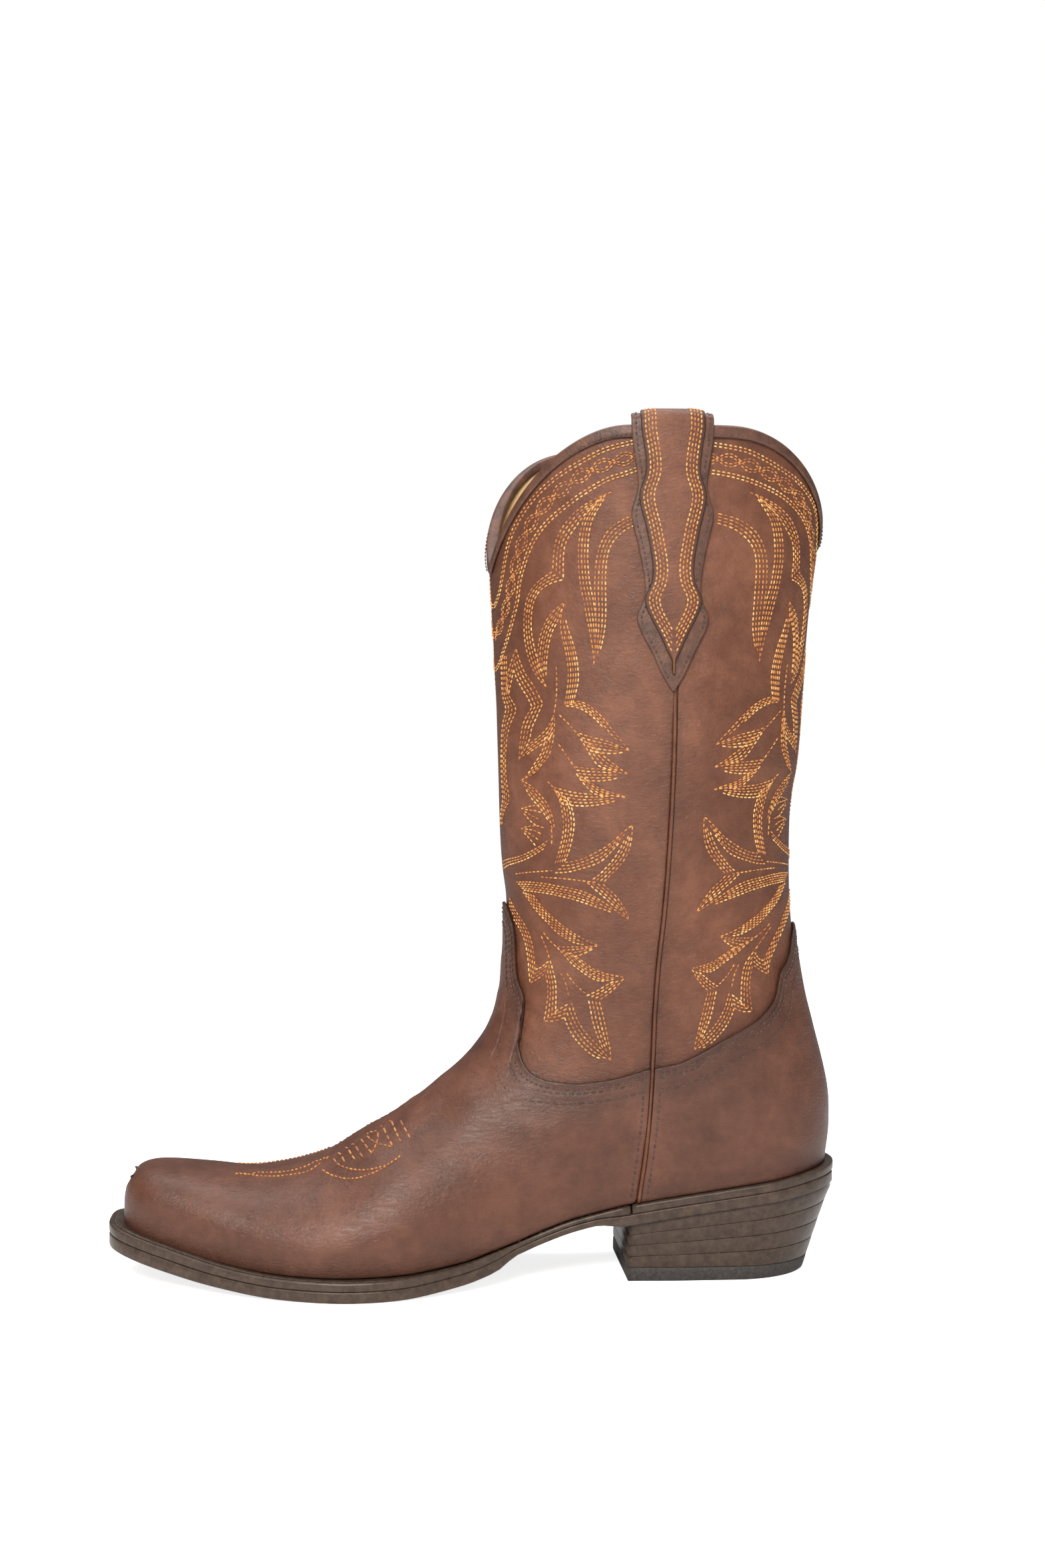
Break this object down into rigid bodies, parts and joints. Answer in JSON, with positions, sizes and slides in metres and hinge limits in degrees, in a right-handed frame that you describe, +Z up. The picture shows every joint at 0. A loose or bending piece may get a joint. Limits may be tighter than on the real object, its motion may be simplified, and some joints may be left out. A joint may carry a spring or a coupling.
{
  "type": "cowboy boot",
  "caption": "Pull-on western boot for the left foot, with a stitched leather shaft, scalloped pull straps, a square toe and an underslung stacked heel.",
  "frame": {"origin": "on the ground plane, under the middle of the boot's box", "axes": "+Z up the shaft, +X from toe to heel, +Y towards the inner side of the foot"},
  "size_m": [0.309, 0.111, 0.3605],
  "materials": {
    "foot_leather": "burnished brown, satin",
    "shaft_leather": "waxed brown, satin",
    "binding_leather": "dark brown, satin",
    "lining_leather": "tan, matte",
    "stiffener_board": "stiffened cloth, matte",
    "sole_leather": "waxed and worn",
    "edge_leather": "edge dressed, satin",
    "insole_leather": "natural, matte",
    "filler_cork": "ground cork, matte",
    "shank_steel": "rolled strip",
    "heel_rubber": "matte",
    "nail_brass": "dull",
    "peg_wood": "raw, matte"
  },
  "bodies": {
    "root": {"vamp": "foot_leather", "toe_box": "stiffener_board", "vamp_lining": "lining_leather", "heel_counter_cover": "foot_leather", "counter_stiffener": "stiffener_board", "heel_lining": "lining_leather", "shaft_front_panel": "shaft_leather", "shaft_lining_front": "lining_leather", "top_binding_front": "binding_leather", "shaft_back_panel": "shaft_leather", "shaft_lining_back": "lining_leather", "top_binding_back": "binding_leather", "side_piping_lateral": "shaft_leather", "side_piping_medial": "shaft_leather", "pull_strap_backing_lateral": "binding_leather", "pull_strap_lateral": "shaft_leather", "pull_strap_backing_medial": "binding_leather", "pull_strap_medial": "shaft_leather", "outsole": "sole_leather", "welt": "edge_leather", "insole": "insole_leather", "sock_pad": "lining_leather", "shank": "shank_steel", "bottom_filler": "filler_cork", "heel_rand": "edge_leather", "heel_cap": "heel_rubber", "heel_nail_1": "nail_brass", "heel_nail_2": "nail_brass", "heel_nail_3": "nail_brass", "heel_nail_4": "nail_brass", "heel_nail_5": "nail_brass", "heel_lift_1": "edge_leather", "heel_lift_2": "edge_leather", "heel_lift_3": "edge_leather", "heel_lift_4": "edge_leather", "peg_lateral_1": "peg_wood", "peg_lateral_2": "peg_wood", "peg_lateral_3": "peg_wood", "peg_lateral_4": "peg_wood", "peg_lateral_5": "peg_wood", "peg_lateral_6": "peg_wood", "peg_medial_1": "peg_wood", "peg_medial_2": "peg_wood", "peg_medial_3": "peg_wood", "peg_medial_4": "peg_wood", "peg_medial_5": "peg_wood", "peg_medial_6": "peg_wood"}
  },
  "joints": []
}
